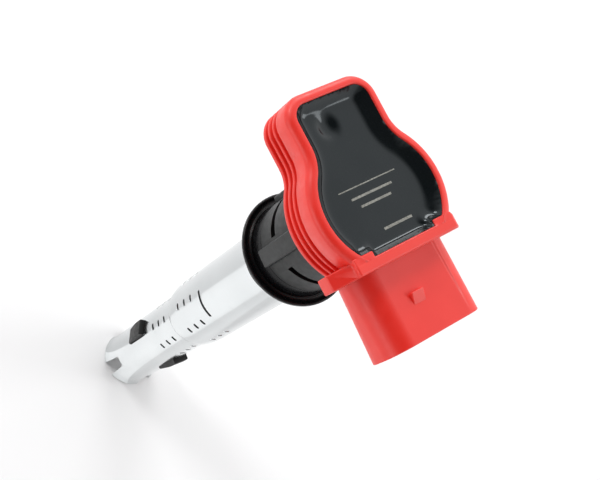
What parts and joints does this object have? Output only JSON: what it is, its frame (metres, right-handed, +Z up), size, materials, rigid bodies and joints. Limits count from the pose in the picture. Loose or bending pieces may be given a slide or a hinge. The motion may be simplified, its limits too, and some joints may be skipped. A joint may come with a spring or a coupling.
{
  "type": "ignition coil",
  "caption": "Pencil ignition coil: red connector head over a collar, a seal and a long metal sleeve that plugs onto a spark plug down its well.",
  "frame": {"origin": "on the coil axis, at the face of the seal that sits on the engine", "axes": "+Z up the coil axis towards the head, +X out of the electrical connector"},
  "size_m": [0.0605, 0.0388, 0.1712],
  "materials": {
    "red_plastic": "satin moulded",
    "potting": "semi-gloss cast",
    "collar_plastic": "fine moulded grain",
    "seal_rubber": "smooth",
    "sleeve_metal": "bright drawn",
    "boot_rubber": "matt",
    "case_plastic": "matt",
    "bobbin_plastic": "matt",
    "copper": "enamelled wire",
    "core_steel": "laminated",
    "magnet": "nickel plated",
    "tinned_metal": "tin plated",
    "ceramic": "unglazed",
    "spring_steel": "drawn wire",
    "board": "solder mask",
    "chip_plastic": "moulded epoxy"
  },
  "bodies": {
    "coil": {"head_housing": "red_plastic", "potting_compound": "potting", "collar": "collar_plastic", "seal_brim": "seal_rubber", "upper_sleeve": "sleeve_metal", "lower_sleeve": "sleeve_metal", "plug_boot": "boot_rubber", "contact_spring": "spring_steel", "suppression_resistor": "ceramic", "hv_terminal": "tinned_metal", "insulating_case": "case_plastic", "iron_core": "core_steel", "core_magnet_upper": "magnet", "core_magnet_lower": "magnet", "core_cap": "boot_rubber", "secondary_bobbin": "bobbin_plastic", "secondary_winding_1": "copper", "secondary_winding_2": "copper", "secondary_winding_3": "copper", "secondary_winding_4": "copper", "secondary_winding_5": "copper", "primary_bobbin": "bobbin_plastic", "primary_winding": "copper", "driver_board": "board", "igniter_module": "chip_plastic", "filter_capacitor": "tinned_metal", "cut_off_diode": "chip_plastic", "gate_resistor": "chip_plastic", "sense_resistor": "chip_plastic", "terminal_pin_1": "tinned_metal", "terminal_pin_2": "tinned_metal", "terminal_pin_3": "tinned_metal", "terminal_pin_4": "tinned_metal", "primary_lead_left": "copper", "primary_lead_right": "copper"},
    "contact": {"plug_contact": "tinned_metal"}
  },
  "joints": [
    {"name": "contact_travel", "type": "slide", "parent": "coil", "child": "contact", "axis": [0, 0, 1], "range_m": [0, 0.003], "stiffness_N_per_m": 500, "deforming": ["contact_spring"]}
  ]
}
